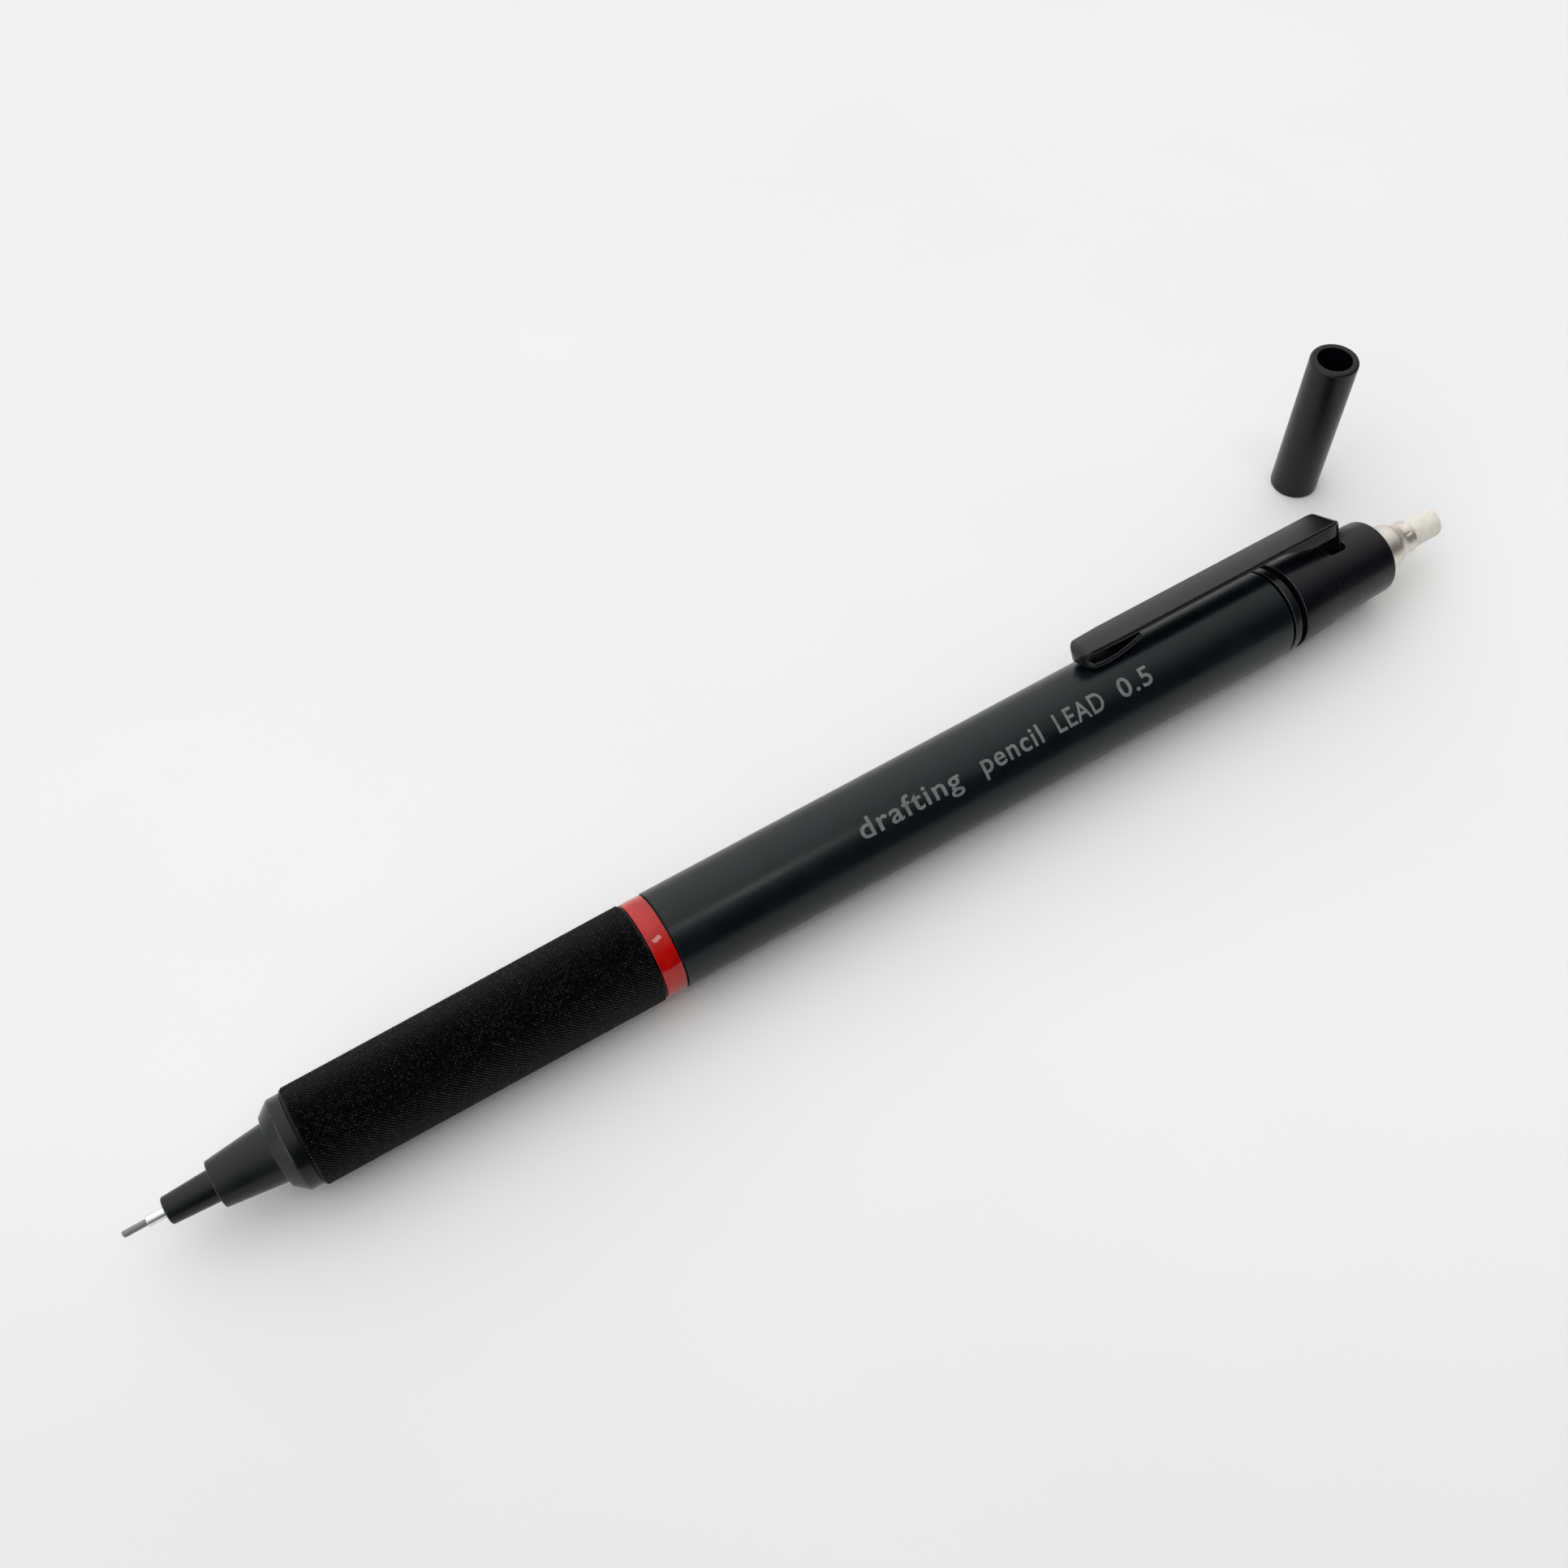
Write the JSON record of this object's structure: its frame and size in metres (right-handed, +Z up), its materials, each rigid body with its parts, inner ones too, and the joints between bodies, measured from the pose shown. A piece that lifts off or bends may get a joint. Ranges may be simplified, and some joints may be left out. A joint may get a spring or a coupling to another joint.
{
  "type": "mechanical pencil",
  "caption": "Slim black clutch pencil for technical drawing, with knurled grip, sprung point, red ring, clip and bare eraser; its push cap is off and stands beside it.",
  "frame": {"origin": "on the table, under the middle of the box around the pencil and its cap", "axes": "+X along the pencil from its point to its eraser, +Y towards the side where the cap stands, +Z up"},
  "size_m": [0.1372, 0.0214, 0.0169],
  "materials": {
    "graphite": "soft metallic grey polymer lead",
    "polished_steel": "polished steel tube",
    "black_satin": "black satin coat on brass",
    "brown_rubber": "soft rubber",
    "black_knurled": "black coat over fine diamond knurling",
    "plain_brass": "turned brass",
    "red_gloss": "glossy red lacquer",
    "charcoal_matt": "matt charcoal lacquer with a fine grain",
    "black_matt": "smooth black matt coat",
    "white_plastic": "moulded acetal",
    "black_lacquered_steel": "black lacquered spring steel",
    "spring_steel": "drawn wire",
    "nickel": "thin nickel plate",
    "white_vinyl": "matt white eraser"
  },
  "bodies": {
    "casing": {"nose_cone": "black_satin", "grip_sleeve": "black_knurled", "grip_core": "plain_brass", "red_ring": "red_gloss", "barrel": "charcoal_matt", "spacer_ring": "black_matt", "collar_insert": "black_satin", "tube_guide_bush": "white_plastic", "clip_collar": "black_matt"},
    "clip": {"clip": "black_lacquered_steel"},
    "cap": {"push_cap": "black_matt"},
    "carriage": {"tip_nose": "black_satin", "lead_sleeve": "polished_steel", "lead_retainer": "brown_rubber", "mechanism_sleeve": "plain_brass", "cushion_spring": "spring_steel"},
    "clutch": {"clutch_ring": "plain_brass"},
    "plunger": {"chuck_body": "plain_brass", "tube_coupler": "white_plastic", "lead_tube": "white_plastic", "eraser_ferrule": "nickel", "return_spring": "spring_steel"},
    "jaw_1": {"chuck_jaw_1": "plain_brass"},
    "jaw_2": {"chuck_jaw_2": "plain_brass"},
    "jaw_3": {"chuck_jaw_3": "plain_brass"},
    "lead": {"lead": "graphite"},
    "eraser": {"eraser": "white_vinyl"}
  },
  "joints": [
    {"name": "point_cushion", "type": "slide", "parent": "casing", "child": "carriage", "axis": [1, 0, 0], "range_m": [0, 0.0008], "stiffness_N_per_m": 4000, "springref_m": -0.0004, "deforming": ["cushion_spring"]},
    {"name": "push", "type": "slide", "parent": "carriage", "child": "plunger", "axis": [-1, 0, 0], "range_m": [0, 0.003], "stiffness_N_per_m": 900, "springref_m": -0.0015, "deforming": ["return_spring"]},
    {"name": "clutch_ring_slide", "type": "slide", "parent": "carriage", "child": "clutch", "axis": [-1, 0, 0], "range_m": [0, 0.001]},
    {"name": "jaw_1_open", "type": "hinge", "parent": "plunger", "child": "jaw_1", "pos_m": [-0.0411, -0.00619, 0.00405], "axis": [0, -1, 0], "range_deg": [0, 2.2]},
    {"name": "jaw_2_open", "type": "hinge", "parent": "plunger", "child": "jaw_2", "pos_m": [-0.0411, -0.00575, 0.0048], "axis": [0, 0.5, -0.866], "range_deg": [0, 2.2]},
    {"name": "jaw_3_open", "type": "hinge", "parent": "plunger", "child": "jaw_3", "pos_m": [-0.0411, -0.00662, 0.0048], "axis": [0, 0.5, 0.866], "range_deg": [0, 2.2]},
    {"name": "lead_feed", "type": "slide", "parent": "carriage", "child": "lead", "axis": [-1, 0, 0], "range_m": [-0.002, 0.005]},
    {"name": "eraser_pull", "type": "slide", "parent": "plunger", "child": "eraser", "axis": [1, 0, 0], "range_m": [0, 0.008]},
    {"name": "clip_lift", "type": "hinge", "parent": "casing", "child": "clip", "pos_m": [0.05538, -0.00441, 0.00789], "axis": [0, 0.8829, -0.4695], "range_deg": [0, 4], "stiffness_Nm_per_rad": 2, "springref_deg": -1.15},
    {"name": "cap_lift", "type": "slide", "parent": "casing", "child": "cap", "axis": [0, 0, 1], "range_m": [0, 0.025]}
  ],
  "couplings": [
    {"joint": "clutch_ring_slide", "follows": "push", "ratio": 0.33333},
    {"joint": "jaw_1_open", "follows": "push", "rad_per_m": 12.79},
    {"joint": "jaw_2_open", "follows": "push", "rad_per_m": 12.79},
    {"joint": "jaw_3_open", "follows": "push", "rad_per_m": 12.79}
  ]
}
